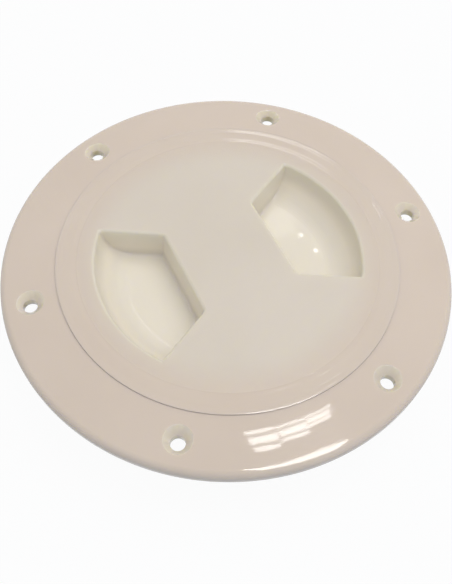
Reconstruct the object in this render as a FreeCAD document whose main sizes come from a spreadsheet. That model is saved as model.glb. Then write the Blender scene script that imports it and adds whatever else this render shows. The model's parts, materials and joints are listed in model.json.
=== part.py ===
"""Screw-in inspection hatch for a boat's deck: a ring with a threaded collar, a lid and an O-ring.

The frame's origin is the centre of the flange's underside, which lies on the deck. +Z points up,
and +X runs through one of the screw holes. All lengths are millimetres and all angles degrees.
"""
import FreeCAD, Part
import math
import os
import Sketcher

doc = FreeCAD.newDocument("InspectionHatch")

# Driving dimensions, each with the words that say what it is
SIZES = [
    ("clear_opening", 100.0, "free bore of the collar, inside its thread"),
    ("flange_width", 17.0, "flange from the lid's seam to its outer edge"),
    ("flange_edge_height", 3.3, "flange top above the deck, at its outer edge"),
    ("flange_seam_height", 5.0, "flange top above the deck, beside the lid"),
    ("flange_crown_radius", 150.0, "gentle arc of the flange's top"),
    ("flange_edge_round", 2.2, "round along the outer edge"),
    ("screw_count", 6, "screw holes, halfway across the flange"),
    ("screw_hole", 4.4, "clearance hole for a 4.2 mm screw"),
    ("screw_head", 8.0, "countersink at the flange's surface"),
    ("collar_wall", 3.2, "collar wall outside the thread's root"),
    ("collar_depth", 19.0, "collar below the flange's underside"),
    ("collar_chamfer", 1.0, "lead-in round the collar's bottom edge"),
    ("thread_pitch", 4.5, "rise of the thread in one turn"),
    ("thread_depth", 1.5, "height of the thread ridge"),
    ("thread_taper", 0.6, "how far each flank leans in over the ridge's height"),
    ("thread_side_gap", 0.35, "clearance between the flanks of ring and lid"),
    ("thread_bite", 0.4, "how far a ridge's foot reaches into its wall"),
    ("thread_gap", 0.3, "radial running clearance of the thread"),
    ("ring_thread_turns", 2.0, "turns of thread in the collar"),
    ("lid_thread_turns", 1.1, "turns of thread on the lid's skirt"),
    ("lid_thread_margin", 0.6, "skirt left below the lid's thread"),
    ("lid_land", 1.4, "lid's rim beyond the O-ring's pocket, where it lies on the ledge"),
    ("lid_side_gap", 0.4, "seam between the lid and the flange"),
    ("lid_top_height", 5.4, "lid border above the deck"),
    ("lid_rim_thickness", 3.4, "thickness of the lid's rim"),
    ("lid_plate_thickness", 3.0, "thickness of the lid inside its skirt"),
    ("lid_edge_round", 0.6, "round along the lid's top edge"),
    ("lid_closed_turn", 8.9, "where the lid's recesses stop when it is tight"),
    ("border_width", 5.9, "smooth border of the lid round its textured panel"),
    ("panel_drop", 0.25, "panel below the border"),
    ("skirt_wall", 2.6, "wall of the lid's skirt"),
    ("skirt_depth", 11.6, "skirt below the deck"),
    ("seal_section", 2.4, "thickness of the O-ring"),
    ("seal_gap", 0.2, "clearance round the relaxed O-ring"),
    ("seal_side_gap", 0.4, "clearance outside the O-ring"),
    ("seam_edge_round", 0.4, "round along the flange's inner edge"),
    ("recess_chord", 16.0, "finger recess's straight wall from the lid's centre"),
    ("recess_chord_half", 15.5, "half of that wall's length"),
    ("recess_spread", 29.0, "angle of a side wall to the recess's middle line"),
    ("recess_margin", 6.0, "panel left between a recess and the border"),
    ("recess_depth", 10.5, "depth of the recess below the panel"),
    ("recess_draft", 5.0, "draft of the recess's walls"),
    ("recess_lip", 1.2, "upright part of the outer wall, above the scoop at its foot"),
    ("recess_corner_round", 1.5, "round in the corners between the recess's walls"),
    ("recess_floor_round", 1.0, "round at the foot of the other walls"),
    ("recess_rim_round", 0.4, "round along the recess's top edge"),
    ("recess_wall", 2.4, "wall of the cup under the recess"),
    ("cup_floor_round", 1.5, "round along the cup's underside"),
]
RECESS_COUNT = 2

sheet = doc.addObject("Spreadsheet::Sheet", "Sizes")
for row, (alias, value, meaning) in enumerate(SIZES, start=1):
    sheet.set("A%d" % row, meaning)
    sheet.set("B%d" % row, str(value))
    sheet.setAlias("B%d" % row, alias)
doc.recompute()

# Places worked out from the driving dimensions, as expressions that the document follows
BORE_R = "(Sizes.clear_opening / 2)"
COLLAR_ROOT_R = "(Sizes.clear_opening / 2 + Sizes.thread_depth)"
COLLAR_R = "(%s + Sizes.collar_wall)" % COLLAR_ROOT_R
SKIRT_R = "(%s - Sizes.thread_gap)" % BORE_R
SKIRT_INNER_R = "(%s - Sizes.skirt_wall)" % SKIRT_R
SEAL_R = "(%s + Sizes.seal_gap + Sizes.seal_section / 2)" % SKIRT_R
POCKET_R = "(%s + Sizes.seal_section / 2 + Sizes.seal_side_gap)" % SEAL_R
LID_R = "(%s + Sizes.lid_land)" % POCKET_R
SEAM_R = "(%s + Sizes.lid_side_gap)" % LID_R
FLANGE_R = "(%s + Sizes.flange_width)" % SEAM_R
SCREW_R = "(%s + Sizes.flange_width / 2)" % SEAM_R
PANEL_R = "(%s - Sizes.border_width)" % LID_R
RECESS_REACH = "(%s - Sizes.recess_margin)" % PANEL_R
LEDGE_Z = "(Sizes.lid_top_height - Sizes.lid_rim_thickness)"
SEAL_Z = "(%s - Sizes.seal_gap - Sizes.seal_section / 2)" % LEDGE_Z
POCKET_Z = "(%s - Sizes.seal_gap - Sizes.seal_section / 2)" % SEAL_Z
PANEL_Z = "(Sizes.lid_top_height - Sizes.panel_drop)"
PLATE_Z = "(%s - Sizes.lid_plate_thickness)" % PANEL_Z
THREAD_FOOT = "(Sizes.thread_pitch / 2 - Sizes.thread_side_gap + Sizes.thread_taper)"
THREAD_CREST = "(Sizes.thread_pitch / 2 - Sizes.thread_side_gap - Sizes.thread_taper)"
LID_THREAD_Z = "(%s / 2 + Sizes.lid_thread_margin - Sizes.skirt_depth)" % THREAD_FOOT
RING_THREAD_Z = "(%s - Sizes.thread_pitch * (0.5 + Sizes.lid_closed_turn / 360))" % LID_THREAD_Z
RECESS_SCOOP = "(Sizes.recess_depth - Sizes.recess_lip)"
CUP_DEPTH = "(Sizes.recess_depth + Sizes.recess_wall - Sizes.lid_plate_thickness)"
CUP_HALF = ("(Sizes.recess_chord_half + Sizes.recess_wall / cos(Sizes.recess_spread * 1 deg)"
            " - Sizes.recess_wall * tan(Sizes.recess_spread * 1 deg))")
SCREW_Z = "((Sizes.flange_edge_height + Sizes.flange_seam_height) / 2)"


def number(expression):
    """The present value of an expression of the sheet."""
    return float(sheet.evalExpression(expression))


def origin_plane(body, role):
    """One of the body's own origin planes."""
    for feature in body.Origin.OriginFeatures:
        if feature.Role == role:
            return feature
    raise ValueError("no origin plane " + role)


def new_sketch(body, name, role, lift=None):
    """An empty sketch on an origin plane of its body, raised by the expression lift."""
    sketch = body.newObject("Sketcher::SketchObject", name)
    sketch.AttachmentSupport = [(origin_plane(body, role), "")]
    sketch.MapMode = "FlatFace"
    if lift:
        sketch.setExpression("AttachmentOffset.Base.z", lift)
    return sketch


def pin_point(sketch, geometry, end, across, along):
    """Hold one point of the sketch at two expressions."""
    for kind, expression in (("DistanceX", across), ("DistanceY", along)):
        value = number(expression)
        index = sketch.addConstraint(Sketcher.Constraint(kind, -1, 1, geometry, end, value))
        sketch.setExpression("Constraints[%d]" % index, expression)


def arc_between(first, second, radius):
    """The shorter arc from one point to the other, bulging upwards."""
    middle = (first + second) / 2
    half = (second - first).Length / 2
    away = math.sqrt(radius * radius - half * half)
    along = (second - first).normalize()
    side = FreeCAD.Vector(-along.y, along.x, 0)
    if side.y > 0:
        side = -side
    centre = middle + side * away
    crest = centre - side * radius
    return Part.Arc(first, crest, second)


def outline(sketch, corners, arcs=None):
    """A closed outline through corners given as pairs of expressions.

    arcs gives, for the number of a side, its radius as an expression: that side is an arc that
    bulges upwards.
    """
    arcs = arcs or {}
    points = [FreeCAD.Vector(number(x), number(y), 0) for x, y in corners]
    for side, start in enumerate(points):
        end = points[(side + 1) % len(points)]
        if side in arcs:
            sketch.addGeometry(arc_between(start, end, number(arcs[side])), False)
        else:
            sketch.addGeometry(Part.LineSegment(start, end), False)
    starts = {}
    ends = {}
    for side, start in enumerate(points):
        geometry = sketch.Geometry[side]
        forward = (geometry.StartPoint - start).Length < 1e-6
        starts[side] = 1 if forward else 2
        ends[side] = 2 if forward else 1
    for side in range(len(points)):
        following = (side + 1) % len(points)
        sketch.addConstraint(Sketcher.Constraint(
            "Coincident", side, ends[side], following, starts[following]))
    for side, (across, along) in enumerate(corners):
        pin_point(sketch, side, starts[side], across, along)
    for side, expression in arcs.items():
        index = sketch.addConstraint(Sketcher.Constraint("Radius", side, number(expression)))
        sketch.setExpression("Constraints[%d]" % index, expression)


def revolve(body, name, sketch):
    """The sketch turned once about the Z axis."""
    feature = body.newObject("PartDesign::Revolution", name)
    feature.Profile = sketch
    feature.ReferenceAxis = (sketch, ["V_Axis"])
    feature.Angle = 360.0
    return feature


def circle_edges(shape, radius, height):
    """Names of the round edges about Z that have this radius and height."""
    names = []
    for index, edge in enumerate(shape.Edges, start=1):
        curve = edge.Curve
        if not isinstance(curve, Part.Circle):
            continue
        centred = math.hypot(curve.Center.x, curve.Center.y) < 1e-4
        if centred and abs(curve.Radius - radius) < 1e-4 and abs(curve.Center.z - height) < 1e-4:
            names.append("Edge%d" % index)
    if not names:
        raise ValueError("no edge of radius %g at height %g" % (radius, height))
    return names


def dress(body, kind, name, edges, size):
    """A fillet or a chamfer on edges of the body's latest feature."""
    dressed = body.Tip
    feature = body.newObject("PartDesign::" + kind, name)
    feature.Base = (dressed, edges)
    feature.setExpression("Radius" if kind == "Fillet" else "Size", size)
    return feature


def thread_ridge(body, name, foot_r, outward, height, turns):
    """A right-hand ridge that winds up a wall of radius foot_r, from height."""
    sign = "+" if outward else "-"
    back = "-" if outward else "+"
    sketch = new_sketch(body, name + "Section", "XZ_Plane")
    crest_r = "(%s %s Sizes.thread_depth)" % (foot_r, sign)
    buried_r = "(%s %s Sizes.thread_bite)" % (foot_r, back)
    buried_half = ("(%s / 2 + Sizes.thread_bite * Sizes.thread_taper / Sizes.thread_depth)"
                   % THREAD_FOOT)
    outline(sketch, [
        (buried_r, "%s - %s" % (height, buried_half)),
        (crest_r, "%s - %s / 2" % (height, THREAD_CREST)),
        (crest_r, "%s + %s / 2" % (height, THREAD_CREST)),
        (buried_r, "%s + %s" % (height, buried_half)),
    ])
    ridge = body.newObject("PartDesign::AdditiveHelix", name)
    ridge.Profile = sketch
    ridge.ReferenceAxis = (sketch, ["V_Axis"])
    ridge.Mode = "pitch-turns-angle"
    ridge.setExpression("Pitch", "Sizes.thread_pitch")
    ridge.setExpression("Turns", turns)
    ridge.LeftHanded = False
    return ridge


def make_ring():
    """The flange, its screw holes and the threaded collar, one moulding."""
    ring = doc.addObject("PartDesign::Body", "deck_ring")
    ring.Label = "deck_ring"

    section = new_sketch(ring, "RingSection", "XZ_Plane")
    outline(section, [
        (COLLAR_R, "-Sizes.collar_depth"),
        (COLLAR_R, "0"),
        (FLANGE_R, "0"),
        (FLANGE_R, "Sizes.flange_edge_height"),
        (SEAM_R, "Sizes.flange_seam_height"),
        (SEAM_R, LEDGE_Z),
        (POCKET_R, LEDGE_Z),
        (POCKET_R, POCKET_Z),
        (COLLAR_ROOT_R, POCKET_Z),
        (COLLAR_ROOT_R, "-Sizes.collar_depth"),
    ], arcs={3: "Sizes.flange_crown_radius"})
    revolve(ring, "RingTurned", section)
    doc.recompute()

    shape = ring.Shape
    dress(ring, "Fillet", "OuterEdge", circle_edges(
        shape, number(FLANGE_R), number("Sizes.flange_edge_height")), "Sizes.flange_edge_round")
    doc.recompute()
    shape = ring.Shape
    dress(ring, "Fillet", "SeamEdge", circle_edges(
        shape, number(SEAM_R), number("Sizes.flange_seam_height")), "Sizes.seam_edge_round")
    doc.recompute()
    shape = ring.Shape
    dress(ring, "Chamfer", "CollarLeadIn", circle_edges(
        shape, number(COLLAR_R), -number("Sizes.collar_depth")), "Sizes.collar_chamfer")
    doc.recompute()

    # A countersunk screw hole, cut by turning its section about its own axis
    hole = new_sketch(ring, "ScrewHoleSection", "XZ_Plane")
    bore = "(%s + Sizes.screw_hole / 2)" % SCREW_R
    over = "Sizes.flange_edge_round"
    outline(hole, [
        (SCREW_R, "-" + over),
        (bore, "-" + over),
        (bore, SCREW_Z + " - (Sizes.screw_head - Sizes.screw_hole) / 2"),
        ("(%s + Sizes.screw_head / 2 + %s)" % (SCREW_R, over), "%s + %s" % (SCREW_Z, over)),
        (SCREW_R, "%s + %s" % (SCREW_Z, over)),
    ])
    axis = hole.addGeometry(Part.LineSegment(
        FreeCAD.Vector(number(SCREW_R), 0, 0),
        FreeCAD.Vector(number(SCREW_R), number(SCREW_Z), 0)), True)
    pin_point(hole, axis, 1, SCREW_R, "0")
    pin_point(hole, axis, 2, SCREW_R, SCREW_Z)
    before = ring.Shape.Volume
    cut = ring.newObject("PartDesign::Groove", "ScrewHole")
    cut.Profile = hole
    cut.ReferenceAxis = (hole, ["Axis0"])
    cut.Angle = 360.0
    doc.recompute()
    if ring.Shape.Volume >= before:
        raise ValueError("the screw hole cut nothing")
    holes = ring.newObject("PartDesign::PolarPattern", "ScrewHoles")
    holes.Originals = [cut]
    holes.Axis = (section, ["V_Axis"])
    holes.Angle = 360.0
    holes.setExpression("Occurrences", "Sizes.screw_count")
    ring.Tip = holes
    doc.recompute()

    thread_ridge(ring, "RingThread", COLLAR_ROOT_R, False, RING_THREAD_Z, "Sizes.ring_thread_turns")
    doc.recompute()
    return ring


def recess_outline(sketch, chord, half, reach):
    """The finger recess seen from above: a chord, two side walls and an arc about the centre."""
    spread = math.radians(number("Sizes.recess_spread"))
    radius = number(reach)
    near = FreeCAD.Vector(number(chord), number(half), 0)
    slant = FreeCAD.Vector(math.cos(spread), math.sin(spread), 0)
    foot = near.dot(slant)
    run = math.sqrt(foot ** 2 - near.Length ** 2 + radius ** 2) - foot
    far = near + slant * run
    near_twin = FreeCAD.Vector(near.x, -near.y, 0)
    far_twin = FreeCAD.Vector(far.x, -far.y, 0)
    half_angle = math.atan2(far.y, far.x)
    wall = sketch.addGeometry(Part.LineSegment(near, near_twin), False)
    right = sketch.addGeometry(Part.LineSegment(near_twin, far_twin), False)
    arc = sketch.addGeometry(Part.ArcOfCircle(
        Part.Circle(FreeCAD.Vector(0, 0, 0), FreeCAD.Vector(0, 0, 1), radius),
        -half_angle, half_angle), False)
    left = sketch.addGeometry(Part.LineSegment(far, near), False)
    sketch.addConstraint([
        Sketcher.Constraint("Coincident", wall, 2, right, 1),
        Sketcher.Constraint("Coincident", right, 2, arc, 1),
        Sketcher.Constraint("Coincident", arc, 2, left, 1),
        Sketcher.Constraint("Coincident", left, 2, wall, 1),
        Sketcher.Constraint("Coincident", arc, 3, -1, 1),
    ])
    pin_point(sketch, wall, 1, chord, half)
    pin_point(sketch, wall, 2, chord, "-" + half)
    index = sketch.addConstraint(Sketcher.Constraint("Radius", arc, radius))
    sketch.setExpression("Constraints[%d]" % index, reach)
    for side, start, turn in ((right, 1, -1), (left, 2, 1)):
        index = sketch.addConstraint(Sketcher.Constraint(
            "Angle", -1, 1, side, start, turn * spread))
        sketch.setExpression("Constraints[%d]" % index, "%d * Sizes.recess_spread" % turn)


def level_edges(shape, height):
    """Names and edges that lie flat at one height."""
    for index, edge in enumerate(shape.Edges, start=1):
        box = edge.BoundBox
        if abs(box.ZMin - height) < 1e-4 and abs(box.ZMax - height) < 1e-4:
            yield "Edge%d" % index, edge


def arc_edges(shape, height):
    """Names of the open arcs about the Z axis at one height."""
    names = []
    for name, edge in level_edges(shape, height):
        if not isinstance(edge.Curve, Part.Circle) or edge.isClosed():
            continue
        if math.hypot(edge.Curve.Center.x, edge.Curve.Center.y) < 1e-3:
            names.append(name)
    return names


def floor_edges(shape, height):
    """Names of the straight edges round a floor, apart from the one where the scoop ends."""
    names = []
    for name, edge in level_edges(shape, height):
        if not isinstance(edge.Curve, Part.Line):
            continue
        first, last = (vertex.Point for vertex in edge.Vertexes)
        if math.hypot(first.x + last.x, first.y + last.y) / 2 < number(RECESS_REACH):
            names.append(name)
    return names


def corner_edges(shape, top, floor):
    """Names of the upright edges at the ends of a recess's chord wall."""
    names = []
    for index, edge in enumerate(shape.Edges, start=1):
        box = edge.BoundBox
        if abs(box.ZMax - top) < 1e-3 and abs(box.ZMin - floor) < 1e-3 and not edge.isClosed():
            names.append("Edge%d" % index)
    return names


def rim_edges(shape, height):
    """Names of a recess's edges at the panel, apart from the panel's own round edge."""
    return [name for name, edge in level_edges(shape, height) if not edge.isClosed()]


def taper_pair(body, name, sketch, kind, depth, section):
    """A drafted pad below the sketch, or pocket into it, and its twin across the centre."""
    before = body.Shape.Volume
    feature = body.newObject(kind, name)
    feature.Profile = sketch
    feature.setExpression("Length", depth)
    feature.setExpression("TaperAngle", "-Sizes.recess_draft")
    feature.Reversed = kind == "PartDesign::Pad"
    doc.recompute()
    if (body.Shape.Volume > before) != feature.Reversed:
        raise ValueError(name + " points the wrong way")
    pair = body.newObject("PartDesign::PolarPattern", name + "Pair")
    pair.Originals = [feature]
    pair.Axis = (section, ["V_Axis"])
    pair.Angle = 360.0
    pair.Occurrences = RECESS_COUNT
    body.Tip = pair
    doc.recompute()
    return pair


def make_lid():
    """The cover, its skirt with the thread, and the two cups of the finger recesses."""
    lid = doc.addObject("PartDesign::Body", "lid")
    lid.Label = "lid"

    section = new_sketch(lid, "LidSection", "XZ_Plane")
    outline(section, [
        ("0", PLATE_Z),
        (SKIRT_INNER_R, PLATE_Z),
        (SKIRT_INNER_R, "-Sizes.skirt_depth"),
        (SKIRT_R, "-Sizes.skirt_depth"),
        (SKIRT_R, LEDGE_Z),
        (LID_R, LEDGE_Z),
        (LID_R, "Sizes.lid_top_height"),
        (PANEL_R, "Sizes.lid_top_height"),
        ("(%s - Sizes.panel_drop)" % PANEL_R, PANEL_Z),
        ("0", PANEL_Z),
    ])
    revolve(lid, "LidTurned", section)
    doc.recompute()
    dress(lid, "Fillet", "LidEdge", circle_edges(
        lid.Shape, number(LID_R), number("Sizes.lid_top_height")), "Sizes.lid_edge_round")
    doc.recompute()

    # The outside of the cups, moulded down from the plate
    cup = new_sketch(lid, "CupOutline", "XY_Plane", PLATE_Z)
    recess_outline(cup, "(Sizes.recess_chord - Sizes.recess_wall)", CUP_HALF,
                   "(%s + Sizes.recess_wall)" % RECESS_REACH)
    cups = taper_pair(lid, "Cup", cup, "PartDesign::Pad", CUP_DEPTH, section)
    cup_floor = number(PLATE_Z) - number(CUP_DEPTH)
    dress(lid, "Fillet", "CupScoop", arc_edges(cups.Shape, cup_floor),
          "min(%s; %s - Sizes.cup_floor_round)" % (RECESS_SCOOP, CUP_DEPTH))
    doc.recompute()
    dress(lid, "Fillet", "CupFloor", floor_edges(lid.Shape, cup_floor), "Sizes.cup_floor_round")
    doc.recompute()

    # The recesses, with a scooped outer wall that fingers pull against
    hollow = new_sketch(lid, "RecessOutline", "XY_Plane", PANEL_Z)
    recess_outline(hollow, "Sizes.recess_chord", "Sizes.recess_chord_half", RECESS_REACH)
    recesses = taper_pair(lid, "Recess", hollow, "PartDesign::Pocket", "Sizes.recess_depth", section)
    floor = number(PANEL_Z) - number("Sizes.recess_depth")
    dress(lid, "Fillet", "RecessScoop", arc_edges(recesses.Shape, floor), RECESS_SCOOP)
    doc.recompute()
    dress(lid, "Fillet", "RecessCorners", corner_edges(lid.Shape, number(PANEL_Z), floor),
          "Sizes.recess_corner_round")
    doc.recompute()
    dress(lid, "Fillet", "RecessFloor", floor_edges(lid.Shape, floor), "Sizes.recess_floor_round")
    doc.recompute()
    dress(lid, "Fillet", "RecessRim", rim_edges(lid.Shape, number(PANEL_Z)),
          "Sizes.recess_rim_round")
    doc.recompute()

    thread_ridge(lid, "LidThread", SKIRT_R, True, LID_THREAD_Z, "Sizes.lid_thread_turns")
    lid.Placement = FreeCAD.Placement(
        FreeCAD.Vector(0, 0, 0), FreeCAD.Rotation(FreeCAD.Vector(0, 0, 1), 1.0))
    lid.setExpression("Placement.Rotation.Angle", "Sizes.lid_closed_turn")
    doc.recompute()
    return lid


def make_seal():
    """The O-ring that sits round the skirt, under the lid's rim."""
    seal = doc.addObject("Part::Torus", "o_ring")
    seal.Label = "o_ring"
    seal.setExpression("Radius1", SEAL_R)
    seal.setExpression("Radius2", "Sizes.seal_section / 2")
    seal.setExpression("Placement.Base.z", SEAL_Z)
    doc.recompute()
    return seal


def write_parts(parts):
    """Check the whole document, then write each sub-part to a file named after it."""
    for feature in doc.Objects:
        if "Invalid" in feature.State or "Error" in feature.State:
            raise ValueError("%s failed: %s" % (feature.Name, feature.State))
    for part in parts:
        if part.Shape.isNull() or not part.Shape.isValid():
            raise ValueError(part.Label + " has no valid shape")
    os.makedirs("parts", exist_ok=True)
    for part in parts:
        part.Shape.exportStep("parts/%s.step" % part.Label)


write_parts([make_ring(), make_lid(), make_seal()])
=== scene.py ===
"""Looks of the screw-in inspection hatch, in metres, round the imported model."""
import json
import math

import bmesh
import bpy
from mathutils import Matrix, Vector


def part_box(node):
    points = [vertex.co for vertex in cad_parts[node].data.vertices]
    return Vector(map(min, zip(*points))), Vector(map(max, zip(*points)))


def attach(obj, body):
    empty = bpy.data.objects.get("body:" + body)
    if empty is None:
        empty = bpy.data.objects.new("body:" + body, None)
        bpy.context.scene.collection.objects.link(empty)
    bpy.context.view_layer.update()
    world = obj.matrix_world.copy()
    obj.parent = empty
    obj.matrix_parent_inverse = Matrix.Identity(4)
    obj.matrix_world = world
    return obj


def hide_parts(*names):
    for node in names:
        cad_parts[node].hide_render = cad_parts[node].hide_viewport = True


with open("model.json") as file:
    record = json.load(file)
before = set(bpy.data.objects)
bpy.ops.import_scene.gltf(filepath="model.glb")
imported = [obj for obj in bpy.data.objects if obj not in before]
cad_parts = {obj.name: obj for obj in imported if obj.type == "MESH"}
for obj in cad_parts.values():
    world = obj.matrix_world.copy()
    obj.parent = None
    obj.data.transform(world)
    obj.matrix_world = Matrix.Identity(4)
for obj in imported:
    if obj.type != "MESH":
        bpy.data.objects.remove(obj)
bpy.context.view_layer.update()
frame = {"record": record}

MM = 0.001
RECORD = frame["record"]
MOUNTS = {mount["name"]: mount for mount in RECORD["mounts"]}
RING_LOW, RING_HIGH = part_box("deck_ring")
LID_LOW, LID_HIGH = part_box("lid")
SEAL_LOW, SEAL_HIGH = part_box("o_ring")

# Sizes that the frame gives
FLANGE_R = RING_HIGH.x
SCREW_R = MOUNTS["deck_screws"]["dims"]["pcd_mm"] / 2 * MM
SCREW_COUNT = MOUNTS["deck_screws"]["dims"]["count"]
SCREW_HOLE_R = MOUNTS["deck_screws"]["dims"]["hole_r_mm"] * MM
COLLAR_R = MOUNTS["collar"]["dims"]["r_mm"] * MM
COLLAR_BOTTOM = RING_LOW.z
LID_TOP = LID_HIGH.z
SKIRT_BOTTOM = LID_LOW.z
SEAL_THICK = SEAL_HIGH.z - SEAL_LOW.z
SEAL_Z = (SEAL_HIGH.z + SEAL_LOW.z) / 2

# The seam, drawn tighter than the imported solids' 0.4 mm, round the same middle line
SEAM_MIDDLE_R = 54.3 * MM
SEAM_GAP = 0.015 * MM
LID_R = SEAM_MIDDLE_R - SEAM_GAP / 2
SEAM_R = SEAM_MIDDLE_R + SEAM_GAP / 2

# Sizes of the ring
EDGE_HEIGHT = 3.3 * MM
SEAM_HEIGHT = 5.0 * MM
CROWN_R = 150 * MM
EDGE_RUN = 2.2 * MM
EDGE_FALL = 2.3 * MM
SEAM_ROUND = 0.025 * MM
SEAM_SINK = 0.02 * MM
SMALL_ROUND = 0.25 * MM
RIM_THICK = 3.4 * MM
LEDGE_Z = LID_TOP - RIM_THICK
POCKET_R = 52.7 * MM
POCKET_Z = -0.8 * MM
THREAD_ROOT_R = 51.5 * MM
SCREW_HEAD_R = 4.0 * MM
SCREW_RIM_ROUND = 0.22 * MM
COLLAR_CHAMFER = 1.0 * MM

# Sizes of the thread
PITCH = 4.5 * MM
THREAD_DEPTH = 1.5 * MM
THREAD_FOOT = 2.5 * MM
THREAD_CREST = 1.3 * MM
THREAD_BITE = 0.4 * MM
THREAD_CREST_DROP = 0.15 * MM
THREAD_CREST_ROUND = 0.1 * MM
THREAD_MARGIN = 0.6 * MM
RING_TURNS = 2.0
LID_TURNS = 1.1

# Sizes of the lid
CLOSED_TURN = math.radians(8.9)
BORDER_R = 49.8 * MM
PANEL_DROP = 0.25 * MM
PANEL_Z = LID_TOP - PANEL_DROP
PANEL_STEP = 2.1 * MM
BORDER_DIP = 0.12 * MM
BEAD_STEP = 1.9 * MM
PLATE_THICK = 3.0 * MM
PLATE_Z = PANEL_Z - PLATE_THICK
LID_ROUND = 0.02 * MM
LID_EDGE_WIDTH = 0.45 * MM
LID_EDGE_DROP = 0.09 * MM
LID_UNDER_ROUND = 0.2 * MM
SKIRT_R = 49.7 * MM
SKIRT_INNER_R = 47.1 * MM
SKIRT_ROUND = 0.4 * MM
LID_THREAD_Z = SKIRT_BOTTOM + THREAD_FOOT / 2 + THREAD_MARGIN
RING_THREAD_Z = LID_THREAD_Z - PITCH * (0.5 + CLOSED_TURN / math.tau)
RECESS_CHORD = 16.0 * MM
RECESS_HALF = 15.5 * MM
RECESS_SPREAD = math.radians(29)
RECESS_REACH = 42.2 * MM
RECESS_DEPTH = 10.5 * MM
RECESS_DRAFT = math.tan(math.radians(5))
RECESS_SCOOP = 9.3 * MM
RECESS_CORNER = 1.5 * MM
RECESS_FLOOR_ROUND = 1.0 * MM
RECESS_RIM = 1.0 * MM
RECESS_TIP = 0.8 * MM
RECESS_WALL = 2.4 * MM
CUP_FLOOR_ROUND = 1.5 * MM

# Steps of the round shapes, and a quarter turn
SEGMENTS = 288
HOLE_SEGMENTS = 64
THREAD_STEPS = 144
QUARTER = math.radians(90)

# The photograph's camera, fitted to the outline, the holes, the seam and the recesses
CAMERA_AT = Vector((-40.95, -119.19, 186.40)) * MM
CAMERA_AIM = Vector((2.13, -11.92, 0.0)) * MM
CAMERA_ROLL = math.radians(4.71)
IMAGE_HEIGHT = 584
FOCAL_PIXELS = 694.9
SENSOR = 36
SHIFT_X = -20.6 / IMAGE_HEIGHT
SHIFT_Y = -1.07 / IMAGE_HEIGHT

# Places of the materials on the ring and the lid
GLOSS = 0
COUNTERSINK = 1
MATTE = 1
RECESS = 2

# Colours, most of them as the two shades that a face drifts between
RING_BEIGE = ((0.587, 0.501, 0.427), (0.607, 0.521, 0.447))
# Painted light: the countersinks and hole walls are painted paler, for the glow of thin plastic
# lit from behind
COUNTERSINK_PAINTED_GLOW = ((0.66, 0.60, 0.525), (0.68, 0.62, 0.545))
LID_BEIGE = ((0.588, 0.503, 0.427), (0.603, 0.523, 0.447))
# Painted light: the recesses are painted paler than the lid, for light that bounces and bleeds
# into them
RECESS_PAINTED_LIGHT_BEIGE = ((0.74, 0.695, 0.605), (0.755, 0.71, 0.62))
PANEL_BEIGE = ((0.605, 0.55, 0.475), (0.625, 0.57, 0.50))
PANEL_EDGE_BEIGE = (0.595, 0.515, 0.44)
SEAL_BLACK = ((0.012, 0.012, 0.012), (0.022, 0.022, 0.021))
FLOOR_COLOUR = (0.50, 0.54, 0.60)
HORIZON_COLOUR = (0.15, 0.20, 0.31)
LOW_SKY_COLOUR = (0.45, 0.45, 0.46)
ZENITH_COLOUR = (1.25, 1.23, 1.20)

# Bump layers, each as scale per metre, height and detail
MOULD_WAVES = ((60.0, 0.03 * MM, 1.0), (230.0, 0.01 * MM, 1.0), (420.0, 0.002 * MM, 2.0))
RECESS_GRAIN = ((900.0, 0.003 * MM, 1.0),)
PANEL_GRAIN = ((2600.0, 0.03 * MM, 2.0), (7000.0, 0.012 * MM, 1.0))
RUBBER_GRAIN = ((4000.0, 0.01 * MM, 3.0),)

# Patches of slightly different shade, per metre
PATCH_SCALE = 28.0
PANEL_PATCH_SCALE = 22.0
RUBBER_PATCH_SCALE = 300.0

# Sockets of the colour mix node
MIX_A = 6
MIX_B = 7
MIX_RESULT = 2


def arc_points(centre, radius, start, end, steps):
    """Points of an arc in the section plane, angles in radians."""
    return [(centre[0] + radius * math.cos(start + (end - start) * i / steps),
             centre[1] + radius * math.sin(start + (end - start) * i / steps))
            for i in range(steps + 1)]


def rounded(corners, steps=6):
    """A section whose corners (r, z, round) are rounded by a curve tangent to both sides."""
    points = []
    count = len(corners)
    for i, (r, z, size) in enumerate(corners):
        here = Vector((r, z))
        if not size:
            points.append((r, z))
            continue
        before = Vector(corners[i - 1][:2]) - here
        after = Vector(corners[(i + 1) % count][:2]) - here
        angle = before.angle(after)
        reach = size / math.tan(angle / 2)
        start = here + before.normalized() * reach
        end = here + after.normalized() * reach
        centre = here + (before.normalized() + after.normalized()).normalized() * (
            size / math.sin(angle / 2))
        first = start - centre
        turn = first.angle_signed(end - centre)
        for step in range(steps + 1):
            swung = Matrix.Rotation(-turn * step / steps, 2) @ first
            points.append(tuple(centre + swung))
    return points


def lathe(bm, section, closed=True, segments=SEGMENTS):
    """Turn a section of (r, z) points about Z. Returns the rings of vertices."""
    rings = []
    for r, z in section:
        rings.append([bm.verts.new((r * math.cos(math.tau * i / segments),
                                    r * math.sin(math.tau * i / segments), z))
                      for i in range(segments)])
    pairs = list(zip(rings, rings[1:]))
    if closed:
        pairs.append((rings[-1], rings[0]))
    for lower, upper in pairs:
        join_rings(bm, lower, upper)
    return rings


def join_rings(bm, first, second, material=GLOSS):
    """A band of quads between two rings of as many vertices."""
    count = len(first)
    for i in range(count):
        j = (i + 1) % count
        face = bm.faces.new((first[i], first[j], second[j], second[i]))
        face.material_index = material


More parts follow.
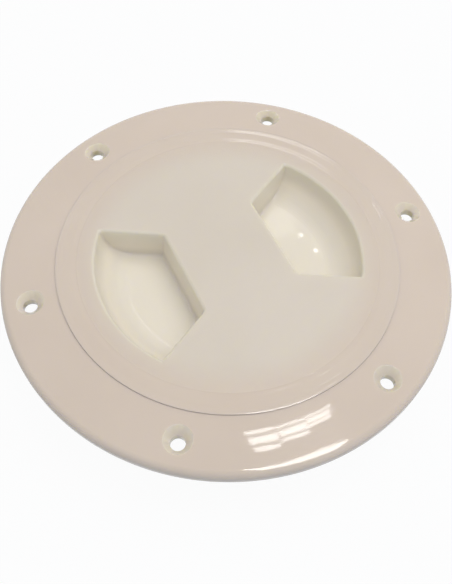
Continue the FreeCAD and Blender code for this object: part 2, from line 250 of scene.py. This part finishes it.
def thread_ridge(bm, foot_r, outward, start_z, turns, start_angle):
    """A closed helical ridge whose foot is sunk into its wall, cut off flat at both ends."""
    sign = 1 if outward else -1
    foot = foot_r - sign * THREAD_BITE
    crest = foot_r + sign * THREAD_DEPTH
    shoulder = foot_r + sign * (THREAD_DEPTH - THREAD_CREST_DROP)
    slope = THREAD_BITE * (THREAD_FOOT - THREAD_CREST) / THREAD_DEPTH / 2
    half = THREAD_CREST / 2
    steps = round(turns * THREAD_STEPS)
    previous = None
    for step in range(steps + 1):
        angle = start_angle + math.tau * turns * step / steps
        rise = start_z + PITCH * turns * step / steps
        section = [(foot, rise - THREAD_FOOT / 2 - slope),
                   (shoulder, rise - half - THREAD_CREST_ROUND),
                   (crest, rise - half + THREAD_CREST_ROUND),
                   (crest, rise + half - THREAD_CREST_ROUND),
                   (shoulder, rise + half + THREAD_CREST_ROUND),
                   (foot, rise + THREAD_FOOT / 2 + slope)]
        ring = [bm.verts.new((r * math.cos(angle), r * math.sin(angle), z)) for r, z in section]
        if previous:
            join_rings(bm, previous, ring)
        else:
            bm.faces.new(ring)
        previous = ring
    bm.faces.new(list(reversed(previous)))


def add_object(name, data):
    """A new object in the scene for a mesh, a light or a camera."""
    made = bpy.data.objects.new(name, data)
    bpy.context.scene.collection.objects.link(made)
    return made


def mesh_object(bm, name):
    """Turn a finished bmesh into an object whose faces point outwards."""
    bmesh.ops.recalc_face_normals(bm, faces=bm.faces)
    mesh = bpy.data.meshes.new(name)
    bm.to_mesh(mesh)
    bm.free()
    return add_object(name, mesh)


def finish_mesh(bm, name, body, node, materials, angle=35):
    """Make the object, shade it smooth by angle, and let it stand for its CAD node."""
    piece = mesh_object(bm, name)
    mesh = piece.data
    mesh.shade_smooth()
    mesh.set_sharp_from_angle(angle=math.radians(angle))
    for material in materials:
        mesh.materials.append(material)
    weighted = piece.modifiers.new("Normals", "WEIGHTED_NORMAL")
    weighted.keep_sharp = True
    weighted.weight = 60
    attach(piece, body)
    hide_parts(node)


def crown_points(steps=14):
    """The flange's top from the seam to the edge round's start, a gentle arc."""
    near = Vector((SEAM_R, SEAM_HEIGHT))
    far = Vector((FLANGE_R, EDGE_HEIGHT))
    middle = (near + far) / 2
    half = (far - near).length / 2
    across = Vector((near.y - far.y, far.x - near.x)).normalized()
    centre = middle - across * math.sqrt(CROWN_R ** 2 - half ** 2)
    start = math.atan2(near.y - centre.y, near.x - centre.x)
    end = math.atan2(far.y - centre.y, far.x - centre.x)
    return arc_points(centre, CROWN_R, start, end, steps), centre


def ring_section():
    """The ring's section: flange with its crown and rounds, ledge, O-ring pocket and collar."""
    crown, centre = crown_points()
    seam_corner = Vector(crown[0])
    edge_start = FLANGE_R - EDGE_RUN
    crown_clear = [p for p in crown if SEAM_R + SEAM_ROUND < p[0] < edge_start]
    start_z = flange_top(edge_start)
    slope = (edge_start - centre.x) / (start_z - centre.y)
    edge = []
    edge_steps = 18
    for step in range(edge_steps + 1):
        t = QUARTER * step / edge_steps
        run = EDGE_RUN * math.sin(t)
        edge.append((edge_start + run,
                     start_z - slope * run * math.cos(t) - EDGE_FALL * (1 - math.cos(t))))
    seam_edge = arc_points((SEAM_R + SEAM_ROUND, seam_corner.y - SEAM_ROUND - SEAM_SINK),
                           SEAM_ROUND, math.pi, QUARTER, 6)
    section = [(SEAM_R, LEDGE_Z)]
    section += seam_edge + crown_clear + edge
    section += [(FLANGE_R, SMALL_ROUND), (FLANGE_R - SMALL_ROUND, 0.0)]
    section += [(COLLAR_R + SMALL_ROUND, 0.0), (COLLAR_R, -SMALL_ROUND)]
    section += [(COLLAR_R, COLLAR_BOTTOM + COLLAR_CHAMFER),
                (COLLAR_R - COLLAR_CHAMFER, COLLAR_BOTTOM),
                (THREAD_ROOT_R + SMALL_ROUND, COLLAR_BOTTOM),
                (THREAD_ROOT_R, COLLAR_BOTTOM + SMALL_ROUND)]
    section += [(THREAD_ROOT_R, POCKET_Z), (POCKET_R, POCKET_Z), (POCKET_R, LEDGE_Z)]
    return section


def flange_top(radius):
    """Height of the flange's top at a radius."""
    _, centre = crown_points()
    return centre.y + math.sqrt(CROWN_R ** 2 - (radius - centre.x) ** 2)


def screw_cutter():
    """One solid that drills and countersinks all the screw holes."""
    bm = bmesh.new()
    top = (EDGE_HEIGHT + (SEAM_HEIGHT - EDGE_HEIGHT)
           * (FLANGE_R - SCREW_R) / (FLANGE_R - SEAM_R))
    over = 2 * MM
    section = [(SCREW_HOLE_R, -over), (SCREW_HOLE_R, top - (SCREW_HEAD_R - SCREW_HOLE_R)),
               (SCREW_HEAD_R + over, top + over)]
    for hole in range(SCREW_COUNT):
        angle = math.tau * hole / SCREW_COUNT
        centre = Vector((SCREW_R * math.cos(angle), SCREW_R * math.sin(angle), 0))
        rings = lathe(bm, section, closed=False, segments=HOLE_SEGMENTS)
        bm.faces.new(list(reversed(rings[0])))
        bm.faces.new(rings[-1])
        for ring in rings:
            bmesh.ops.translate(bm, verts=ring, vec=centre)
    return mesh_object(bm, "screw_cutter")


def bevel_hole_rims(bm):
    """Round the sharp rims where the countersinks meet the flange's top."""
    rims = []
    sharp = math.radians(30)
    reach = SCREW_HEAD_R * 1.4
    above_holes = 1.0 * MM
    for edge in bm.edges:
        if len(edge.link_faces) != 2 or edge.calc_face_angle() < sharp:
            continue
        middle = (edge.verts[0].co + edge.verts[1].co) / 2
        near_screws = abs(middle.xy.length - SCREW_R) < reach
        if near_screws and middle.z > above_holes:
            rims.append(edge)
    bmesh.ops.bevel(bm, geom=rims, offset=SCREW_RIM_ROUND, offset_type="OFFSET", segments=3,
                    profile=0.5, affect="EDGES", clamp_overlap=True)


def light_countersinks(bm):
    """Give the countersinks the paler look of thin plastic with light behind it."""
    reach = SCREW_HEAD_R * 1.2
    above_foot = 0.4 * MM
    flat = 0.9
    for face in bm.faces:
        middle = face.calc_center_median()
        near_screws = abs(middle.xy.length - SCREW_R) < reach
        if near_screws and middle.z > above_foot and abs(face.normal.z) < flat:
            face.material_index = COUNTERSINK


def make_ring(material, countersink):
    """The flange and collar with drilled holes and the internal thread."""
    bm = bmesh.new()
    lathe(bm, ring_section())
    blank = mesh_object(bm, "ring_blank")
    cutter = screw_cutter()
    drill = blank.modifiers.new("Drill", "BOOLEAN")
    drill.operation = "DIFFERENCE"
    drill.solver = "EXACT"
    drill.object = cutter
    drilled = bpy.data.meshes.new_from_object(
        blank.evaluated_get(bpy.context.evaluated_depsgraph_get()))
    bm = bmesh.new()
    bm.from_mesh(drilled)
    bpy.data.objects.remove(blank)
    bpy.data.objects.remove(cutter)
    light_countersinks(bm)
    bevel_hole_rims(bm)
    thread_ridge(bm, THREAD_ROOT_R, outward=False, start_z=RING_THREAD_Z, turns=RING_TURNS,
                 start_angle=0.0)
    finish_mesh(bm, "flange_ring", "ring", "deck_ring", [material, countersink])


def line_circle(point, direction, radius):
    """Where a line from point along a unit direction leaves a circle about the centre."""
    foot = point.dot(direction)
    run = math.sqrt(foot ** 2 - point.length_squared + radius ** 2) - foot
    return point + direction * run


def recess_loop(wall_inset, arc_inset, corner, outward=0.0):
    """Outline of a recess, drawn in by the insets, as a fixed number of points."""
    shift = outward - wall_inset
    slant = Vector((math.cos(RECESS_SPREAD), math.sin(RECESS_SPREAD)))
    chord = RECESS_CHORD - shift
    half = (RECESS_HALF + shift / math.cos(RECESS_SPREAD) - shift * math.tan(RECESS_SPREAD))
    reach = RECESS_REACH + outward - arc_inset
    near = Vector((chord, half))
    far = line_circle(near, slant, reach)
    bend = QUARTER - RECESS_SPREAD
    back = corner * math.tan(bend / 2)
    side_start = near + slant * back
    side_end = far - slant * RECESS_TIP
    arc_start = math.atan2(far.y, far.x) - RECESS_TIP / reach
    arc_point = reach * Vector((math.cos(arc_start), math.sin(arc_start)))
    centre = Vector((chord + corner, half - back))
    corner_steps = 6
    side_steps = 12
    tip_steps = 6
    arc_steps = 16
    chord_steps = 8
    upper = []
    for step in range(corner_steps + 1):
        turn = math.pi - bend * step / corner_steps
        upper.append(centre + corner * Vector((math.cos(turn), math.sin(turn))))
    for step in range(1, side_steps + 1):
        upper.append(side_start.lerp(side_end, step / side_steps))
    for step in range(1, tip_steps):
        t = step / tip_steps
        upper.append(side_end * (1 - t) ** 2 + far * 2 * t * (1 - t) + arc_point * t ** 2)
    for step in range(arc_steps):
        angle = arc_start * (1 - step / arc_steps)
        upper.append(reach * Vector((math.cos(angle), math.sin(angle))))
    middle = [Vector((reach, 0))]
    lower = [Vector((p.x, -p.y)) for p in reversed(upper)]
    chord_points = [Vector((chord, (half - back) * (-1 + 2 * step / chord_steps)))
                    for step in range(1, chord_steps)]
    return upper + middle + lower + chord_points


def recess_levels():
    """Depth below the panel, wall inset, arc inset and corner radius, from rim to floor."""
    levels = []
    rim_steps = 5
    corner_loss = 0.4
    least_corner = 0.5 * MM
    for step in range(rim_steps + 1):
        turn = QUARTER * step / rim_steps
        inset = -RECESS_RIM * (1 - math.sin(turn))
        levels.append((RECESS_RIM * (1 - math.cos(turn)), inset, inset, RECESS_CORNER - inset))
    heights = (foot_heights(RECESS_SCOOP, steps=18, first=1)
               | foot_heights(RECESS_FLOOR_ROUND, steps=7))
    for height in sorted(heights, reverse=True):
        depth = RECESS_DEPTH - height
        slope = depth * RECESS_DRAFT
        wall = slope + foot_inset(height, RECESS_FLOOR_ROUND)
        arc = slope + foot_inset(height, RECESS_SCOOP)
        levels.append((depth, wall, arc, max(RECESS_CORNER - wall * corner_loss, least_corner)))
    return levels


def foot_heights(radius, steps, first=0):
    """Heights above the floor at which a round foot of that radius gets a loop of points."""
    return {round(radius * (1 - math.sin(QUARTER * step / steps)), 9)
            for step in range(first, steps + 1)}


def foot_inset(height, radius):
    """How far a round foot of that radius stands out of its wall at a height above the floor."""
    if height >= radius:
        return 0.0
    return radius - math.sqrt(radius ** 2 - (radius - height) ** 2)


def loft(bm, loops, material=GLOSS):
    """Bands of quads through loops of 3-D points, closed with a flat face at the last one."""
    rings = [[bm.verts.new(p) for p in loop] for loop in loops]
    for first, second in zip(rings, rings[1:]):
        join_rings(bm, first, second, material)
    floor = bm.faces.new(rings[-1])
    floor.material_index = material
    return rings[0]


def placed(loop, z, half_turn):
    """A recess outline lifted to a height, on its own side of the lid."""
    sign = -1 if half_turn else 1
    turn = Matrix.Rotation(CLOSED_TURN, 2)
    points = []
    for p in loop:
        q = turn @ (p * sign)
        points.append(Vector((q.x, q.y, z)))
    return points


def recess_skin(bm, half_turn):
    """The satin inside of one finger recess. Returns its rim."""
    loops = [placed(recess_loop(wall, arc, corner), PANEL_Z - depth, half_turn)
             for depth, wall, arc, corner in recess_levels()]
    return loft(bm, loops, RECESS)


def cup_skin(bm, half_turn):
    """The outside of the cup under one recess. Returns its rim at the plate."""
    depth_below_plate = RECESS_DEPTH + RECESS_WALL - (PANEL_Z - PLATE_Z)
    scoop = depth_below_plate - CUP_FLOOR_ROUND
    heights = (foot_heights(scoop, steps=12, first=1)
               | foot_heights(CUP_FLOOR_ROUND, steps=5))
    heights.add(round(depth_below_plate, 9))
    loops = []
    for height in sorted(heights, reverse=True):
        depth = depth_below_plate - height
        slope = depth * RECESS_DRAFT
        wall = slope + foot_inset(height, CUP_FLOOR_ROUND)
        arc = slope + foot_inset(height, scoop)
        loops.append(placed(recess_loop(wall, arc, RECESS_WALL, RECESS_WALL),
                            PLATE_Z - depth, half_turn))
    return loft(bm, loops)


def fill_round(bm, outer, holes, material):
    """A flat face between an outer ring and the rims of the holes in it."""
    edges = []
    for ring in [outer] + holes:
        for i, vert in enumerate(ring):
            ends = (vert, ring[(i + 1) % len(ring)])
            edges.append(bm.edges.get(ends) or bm.edges.new(ends))
    made = bmesh.ops.triangle_fill(bm, use_beauty=True, use_dissolve=False, edges=edges)
    for thing in made["geom"]:
        if isinstance(thing, bmesh.types.BMFace):
            thing.material_index = material


def soft_step(start_r, start_z, run, rise, steps=10):
    """An S-shaped rise in the lid's section."""
    return [(start_r + run * t, start_z + rise * (3 * t ** 2 - 2 * t ** 3), 0)
            for t in [i / steps for i in range(steps + 1)]]


def lid_edge(steps=10):
    """The lid's outer bead falls softly towards the seam."""
    return [(LID_R - LID_EDGE_WIDTH * (1 - t), LID_TOP - LID_EDGE_DROP * t ** 2, 0)
            for t in [i / steps for i in range(1, steps)]]


def lid_section():
    """The lid's section from the panel's edge over the rim and skirt to the plate's underside."""
    border_z = LID_TOP - BORDER_DIP
    corners = soft_step(BORDER_R - PANEL_STEP, PANEL_Z, PANEL_STEP, border_z - PANEL_Z)
    corners += soft_step(LID_R - LID_EDGE_WIDTH - BEAD_STEP, border_z, BEAD_STEP, BORDER_DIP)
    corners += lid_edge() + [
        (LID_R, LID_TOP - LID_EDGE_DROP, LID_ROUND),
        (LID_R, LEDGE_Z, LID_UNDER_ROUND),
        (SKIRT_R, LEDGE_Z, 0),
        (SKIRT_R, SKIRT_BOTTOM, SKIRT_ROUND),
        (SKIRT_INNER_R, SKIRT_BOTTOM, SKIRT_ROUND),
        (SKIRT_INNER_R, PLATE_Z, 0),
    ]
    return rounded(corners)


def make_lid(gloss, matte, recess):
    """The cover with its matte panel, glossy border and recesses, skirt and thread."""
    bm = bmesh.new()
    rings = lathe(bm, lid_section(), closed=False)
    rims = [recess_skin(bm, half_turn) for half_turn in (False, True)]
    fill_round(bm, rings[0], rims, MATTE)
    cup_rims = [cup_skin(bm, half_turn) for half_turn in (False, True)]
    fill_round(bm, rings[-1], cup_rims, GLOSS)
    thread_ridge(bm, SKIRT_R, outward=True, start_z=LID_THREAD_Z, turns=LID_TURNS,
                 start_angle=CLOSED_TURN)
    finish_mesh(bm, "screw_lid", "lid", "lid", [gloss, matte, recess])


def make_seal(material):
    """The O-ring, a plain torus."""
    bm = bmesh.new()
    radius = (SEAL_HIGH.x - SEAL_LOW.x - SEAL_THICK) / 2
    section = []
    steps = 28
    for i in range(steps):
        angle = math.tau * i / steps
        section.append((radius + SEAL_THICK / 2 * math.cos(angle),
                        SEAL_Z + SEAL_THICK / 2 * math.sin(angle)))
    lathe(bm, section)
    finish_mesh(bm, "rubber_seal", "seal", "o_ring", [material], angle=60)


def add_node(tree, kind, **values):
    """A shader node with its inputs and settings given by name."""
    made = tree.nodes.new(kind)
    for name, value in values.items():
        if hasattr(made, name):
            setattr(made, name, value)
        else:
            made.inputs[name.replace("_", " ")].default_value = value
    return made


def surface_material(name, shades, patch_scale=PATCH_SCALE):
    """A principled material whose colour drifts softly between two shades. Returns its parts."""
    material = bpy.data.materials.new(name)
    material.use_nodes = True
    tree = material.node_tree
    shader = tree.nodes["Principled BSDF"]
    place = add_node(tree, "ShaderNodeTexCoord")
    patches = add_node(tree, "ShaderNodeTexNoise", Scale=patch_scale, Detail=2.0, Roughness=0.5)
    tree.links.new(place.outputs["Object"], patches.inputs["Vector"])
    ramp = add_node(tree, "ShaderNodeValToRGB")
    ramp.color_ramp.elements[0].position = 0.35
    ramp.color_ramp.elements[0].color = (*shades[0], 1)
    ramp.color_ramp.elements[1].position = 0.65
    ramp.color_ramp.elements[1].color = (*shades[1], 1)
    tree.links.new(patches.outputs["Fac"], ramp.inputs["Fac"])
    tree.links.new(ramp.outputs["Color"], shader.inputs["Base Color"])
    return material, tree, shader, place


def add_bump(tree, shader, place, layers):
    """Stack noise bumps, the last one feeding the shader's normal. Returns its socket."""
    previous = None
    for scale, height, detail in layers:
        noise = add_node(tree, "ShaderNodeTexNoise", Scale=scale, Detail=detail, Roughness=0.5)
        tree.links.new(place.outputs["Object"], noise.inputs["Vector"])
        bump = add_node(tree, "ShaderNodeBump", Strength=1.0, Distance=height)
        tree.links.new(noise.outputs["Fac"], bump.inputs["Height"])
        if previous:
            tree.links.new(previous.outputs["Normal"], bump.inputs["Normal"])
        previous = bump
    tree.links.new(previous.outputs["Normal"], shader.inputs["Normal"])
    return previous.outputs["Normal"]


def vary_roughness(tree, shader, place, low, high, scale):
    """Roughness that drifts between two values."""
    noise = add_node(tree, "ShaderNodeTexNoise", Scale=scale, Detail=3.0, Roughness=0.6)
    tree.links.new(place.outputs["Object"], noise.inputs["Vector"])
    spread = add_node(tree, "ShaderNodeMapRange")
    spread.inputs["From Min"].default_value = 0.3
    spread.inputs["From Max"].default_value = 0.7
    spread.inputs["To Min"].default_value = low
    spread.inputs["To Max"].default_value = high
    tree.links.new(noise.outputs["Fac"], spread.inputs["Value"])
    tree.links.new(spread.outputs["Result"], shader.inputs["Roughness"])


def translucent(shader, weight=0.6, reach=0.004):
    """Light that sinks into the pale plastic and comes out a little further on."""
    shader.inputs["IOR"].default_value = 1.5
    shader.inputs["Subsurface Weight"].default_value = weight
    shader.inputs["Subsurface Radius"].default_value = (0.95, 1.0, 0.5)
    shader.inputs["Subsurface Scale"].default_value = reach


def gloss_plastic(name, shades, weight=0.3, reach=0.004):
    """Injection-moulded beige plastic, glossy, slightly wavy like a moulded face."""
    material, tree, shader, place = surface_material(name, shades)
    translucent(shader, weight, reach)
    vary_roughness(tree, shader, place, low=0.03, high=0.05, scale=60.0)
    add_bump(tree, shader, place, MOULD_WAVES)
    return material


def blend_to_border(tree, shader, place, border):
    """Let a colour run softly into the border's colour near the panel's edge."""
    parts = add_node(tree, "ShaderNodeSeparateXYZ")
    flat = add_node(tree, "ShaderNodeCombineXYZ")
    radius = add_node(tree, "ShaderNodeVectorMath", operation="LENGTH")
    blend_start = 0.74 * BORDER_R
    share = add_node(tree, "ShaderNodeMapRange", interpolation_type="SMOOTHSTEP")
    share.inputs["From Min"].default_value = blend_start
    share.inputs["From Max"].default_value = BORDER_R
    mix = add_node(tree, "ShaderNodeMix", data_type="RGBA")
    colour = shader.inputs["Base Color"].links[0].from_socket
    tree.links.new(place.outputs["Object"], parts.inputs["Vector"])
    tree.links.new(parts.outputs["X"], flat.inputs["X"])
    tree.links.new(parts.outputs["Y"], flat.inputs["Y"])
    tree.links.new(flat.outputs["Vector"], radius.inputs[0])
    tree.links.new(radius.outputs["Value"], share.inputs["Value"])
    tree.links.new(share.outputs["Result"], mix.inputs["Factor"])
    tree.links.new(colour, mix.inputs[MIX_A])
    mix.inputs[MIX_B].default_value = (*border, 1)
    tree.links.new(mix.outputs[MIX_RESULT], shader.inputs["Base Color"])


def paint_light_by_depth(tree, shader, place):
    """Painted light: the recess colour runs from the panel's shade at the rim to paler walls and
    floor, the floor a little darker than the walls.
    """
    floor_share = (0.92, 0.92, 0.92, 1)
    foot_share = (0.94, 0.94, 0.94, 1)
    wall_share = (1.05, 1.04, 1.02, 1)
    top_share = (1.03, 1.02, 1.0, 1)
    rim_share = (0.82, 0.80, 0.78, 1)
    parts = add_node(tree, "ShaderNodeSeparateXYZ")
    height = add_node(tree, "ShaderNodeMapRange")
    height.inputs["From Min"].default_value = PANEL_Z - RECESS_DEPTH
    height.inputs["From Max"].default_value = PANEL_Z
    shade = add_node(tree, "ShaderNodeValToRGB")
    ramp = shade.color_ramp
    ramp.elements[0].color = floor_share
    ramp.elements[1].color = rim_share
    for position, colour in ((0.12, foot_share), (0.35, wall_share), (0.90, top_share)):
        ramp.elements.new(position).color = colour
    mix = add_node(tree, "ShaderNodeMix", data_type="RGBA", blend_type="MULTIPLY")
    mix.inputs["Factor"].default_value = 1.0
    drift = shader.inputs["Base Color"].links[0].from_socket
    tree.links.new(place.outputs["Object"], parts.inputs["Vector"])
    tree.links.new(parts.outputs["Z"], height.inputs["Value"])
    tree.links.new(height.outputs["Result"], shade.inputs["Fac"])
    tree.links.new(drift, mix.inputs[MIX_A])
    tree.links.new(shade.outputs["Color"], mix.inputs[MIX_B])
    tree.links.new(mix.outputs[MIX_RESULT], shader.inputs["Base Color"])


def satin_plastic(name, shades):
    """The inside of the recesses: a satin face under a thin bright skin."""
    material, tree, shader, place = surface_material(name, shades)
    # Painted light in the recess: walls painted paler than the floor, the rim toned back to the
    # panel
    paint_light_by_depth(tree, shader, place)
    translucent(shader)
    shader.inputs["Coat Weight"].default_value = 0.3
    shader.inputs["Coat Roughness"].default_value = 0.015
    vary_roughness(tree, shader, place, low=0.30, high=0.35, scale=40.0)
    grain = add_bump(tree, shader, place, RECESS_GRAIN)
    tree.links.new(grain, shader.inputs["Coat Normal"])
    return material


def matte_plastic():
    """The lid's panel: the same plastic with a fine spark-eroded grain."""
    material, tree, shader, place = surface_material(
        "panel_plastic", PANEL_BEIGE, PANEL_PATCH_SCALE)
    blend_to_border(tree, shader, place, PANEL_EDGE_BEIGE)
    translucent(shader)
    vary_roughness(tree, shader, place, low=0.45, high=0.55, scale=45.0)
    add_bump(tree, shader, place, PANEL_GRAIN)
    return material


def seal_rubber():
    """Soft black rubber with a dull bloom."""
    material, tree, shader, place = surface_material(
        "seal_black", SEAL_BLACK, RUBBER_PATCH_SCALE)
    vary_roughness(tree, shader, place, low=0.5, high=0.68, scale=500.0)
    add_bump(tree, shader, place, RUBBER_GRAIN)
    return material


def seen_white(tree, lit, white_share):
    """Mix a lit closure with plain white for the rays that should see the white ground."""
    rays = add_node(tree, "ShaderNodeLightPath")
    first = add_node(tree, "ShaderNodeMath", operation="MAXIMUM")
    second = add_node(tree, "ShaderNodeMath", operation="MAXIMUM")
    share = add_node(tree, "ShaderNodeMath", operation="MULTIPLY")
    share.inputs[1].default_value = white_share
    tree.links.new(rays.outputs["Is Camera Ray"], first.inputs[0])
    tree.links.new(rays.outputs["Is Glossy Ray"], first.inputs[1])
    tree.links.new(first.outputs[0], second.inputs[0])
    tree.links.new(rays.outputs["Is Transmission Ray"], second.inputs[1])
    tree.links.new(second.outputs[0], share.inputs[0])
    mix = add_node(tree, "ShaderNodeMixShader")
    tree.links.new(share.outputs[0], mix.inputs["Fac"])
    tree.links.new(lit.outputs[0], mix.inputs[1])
    return mix


def make_floor():
    """The pale floor: seen as white, with a trace of the object's shadow."""
    width = 6
    gap = 0.2 * MM
    bpy.ops.mesh.primitive_plane_add(size=width, location=(0, 0, COLLAR_BOTTOM - gap))
    floor = bpy.context.object
    floor.name = "floor"
    material = bpy.data.materials.new("floor_white")
    material.use_nodes = True
    tree = material.node_tree
    shader = tree.nodes["Principled BSDF"]
    shader.inputs["Base Color"].default_value = (*FLOOR_COLOUR, 1)
    shader.inputs["Roughness"].default_value = 0.9
    white = add_node(tree, "ShaderNodeEmission", Strength=1.0)
    mix = seen_white(tree, shader, white_share=0.955)
    tree.links.new(white.outputs[0], mix.inputs[2])
    tree.links.new(mix.outputs[0], tree.nodes["Material Output"].inputs["Surface"])
    floor.data.materials.append(material)


def make_world():
    """Soft light, brightest overhead and cooler near the horizon, seen as white."""
    world = bpy.data.worlds.new("studio")
    bpy.context.scene.world = world
    world.use_nodes = True
    tree = world.node_tree
    soft = tree.nodes["Background"]
    place = add_node(tree, "ShaderNodeTexCoord")
    parts = add_node(tree, "ShaderNodeSeparateXYZ")
    sky = add_node(tree, "ShaderNodeValToRGB")
    sky.color_ramp.elements[0].color = (*HORIZON_COLOUR, 1)
    sky.color_ramp.elements[1].color = (*ZENITH_COLOUR, 1)
    middle = sky.color_ramp.elements.new(0.5)
    middle.color = (*LOW_SKY_COLOUR, 1)
    tree.links.new(place.outputs["Generated"], parts.inputs["Vector"])
    tree.links.new(parts.outputs["Z"], sky.inputs["Fac"])
    tree.links.new(sky.outputs["Color"], soft.inputs["Color"])
    white = add_node(tree, "ShaderNodeBackground", Strength=1.0)
    white.inputs["Color"].default_value = (1, 1, 1, 1)
    mix = seen_white(tree, soft, white_share=1.0)
    tree.links.new(white.outputs[0], mix.inputs[2])
    tree.links.new(mix.outputs[0], tree.nodes["World Output"].inputs["Surface"])


def area_light(name, direction, size, radiance, colour=(1, 1, 1), distance=1.0,
               glossy=True, diffuse=True, spin=0.0):
    """A rectangular light of a given brightness in a direction from the hatch's centre."""
    data = bpy.data.lights.new(name, "AREA")
    data.shape = "RECTANGLE"
    data.size, data.size_y = size
    data.energy = radiance * math.pi * size[0] * size[1]
    data.color = colour
    lamp = add_object(name, data)
    away = Vector(direction).normalized()
    lamp.location = away * distance
    across = (Vector((1, 0, 0)) - away * away.x).normalized()
    upright = Matrix((across, away.cross(across), away)).transposed()
    lamp.rotation_euler = (upright @ Matrix.Rotation(spin, 3, "Z")).to_euler()
    lamp.visible_glossy = glossy
    lamp.visible_diffuse = diffuse


def make_window():
    """Bright panes of a window overhead, which the flange mirrors as broken streaks."""
    columns = 3
    column_step = 0.075
    middle_across = 0.203
    height = 0.97
    pane_width = 0.071
    pane_heights = (0.022, 0.036, 0.016)
    first_lift = 0.066
    lift_gain = 0.036
    first_row_step = 0.047
    row_step_loss = 0.42
    pane_loss = 0.3
    first_spin = -0.05
    spin_gain = 0.26
    for column in range(columns):
        share = column / (columns - 1)
        across = middle_across + (share - 0.5) * 2 * column_step
        lift = first_lift + lift_gain * share ** 2
        row_step = first_row_step * (1 - row_step_loss * share)
        shrink = 1 - pane_loss * share
        spin = first_spin + spin_gain * share
        for row, pane_height in enumerate(pane_heights):
            area_light("pane_%d_%d" % (column, row),
                       direction=(across, lift + (row - 1) * row_step, height),
                       size=(pane_width, pane_height * shrink), radiance=10.0,
                       colour=(1.0, 0.99, 0.96), spin=spin)
        area_light("glass_%d" % column, direction=(across, lift, height),
                   size=(pane_width, row_step * 2), radiance=1.6, colour=(0.97, 0.98, 1.0),
                   distance=1.01, spin=spin)


def make_lights():
    """A soft light from the right, the window, and small lights for lines and glints."""
    area_light("key", direction=(0.45, 0.1, 1.0), size=(0.9, 0.9), radiance=2.1,
               colour=(1.0, 0.985, 0.95), distance=1.2, glossy=False)
    make_window()
    area_light("front", direction=(0.185, -0.26, 0.95), size=(0.33, 0.40), radiance=12.0,
               colour=(1.0, 0.99, 0.97), diffuse=False)
    area_light("far", direction=(0.25, 0.57, 0.79), size=(0.12, 0.05), radiance=4.5,
               diffuse=False)
    area_light("ground_glow", direction=(-0.1, -1.0, 0.06), size=(0.9, 0.16), radiance=2.0,
               colour=(0.15, 0.50, 1.0), glossy=False)
    area_light("lamp_step", direction=(0.225, 0.485, 0.845), size=(0.05, 0.02), radiance=6.0,
               diffuse=False)
    area_light("lamp_border", direction=(0.27, 0.355, 0.895), size=(0.03, 0.016), radiance=9.0,
               diffuse=False)
    area_light("spark_a", direction=(0.315, 0.532, 0.79), size=(0.007, 0.003), radiance=40.0,
               diffuse=False, spin=-0.5)
    area_light("spark_b", direction=(0.333, 0.498, 0.80), size=(0.009, 0.004), radiance=60.0,
               diffuse=False, spin=-0.5)


def make_camera():
    """The photograph's view."""
    data = bpy.data.cameras.new("camera")
    data.sensor_fit = "VERTICAL"
    data.sensor_height = SENSOR
    data.lens = FOCAL_PIXELS / IMAGE_HEIGHT * SENSOR
    data.shift_x = SHIFT_X
    data.shift_y = SHIFT_Y
    data.clip_start = 0.01
    camera = add_object("camera", data)
    look = (CAMERA_AIM - CAMERA_AT).to_track_quat("-Z", "Y").to_matrix().to_4x4()
    camera.matrix_world = (Matrix.Translation(CAMERA_AT) @ look
                           @ Matrix.Rotation(CAMERA_ROLL, 4, "Z"))
    bpy.context.scene.camera = camera


bpy.context.scene.view_settings.view_transform = "Standard"
make_ring(gloss_plastic("ring_beige", RING_BEIGE),
          gloss_plastic("countersink_painted_glow", COUNTERSINK_PAINTED_GLOW, weight=0.8, reach=0.007))
make_lid(gloss_plastic("lid_beige", LID_BEIGE), matte_plastic(),
         satin_plastic("recess_painted_light", RECESS_PAINTED_LIGHT_BEIGE))
make_seal(seal_rubber())
make_floor()
make_world()
make_lights()
make_camera()
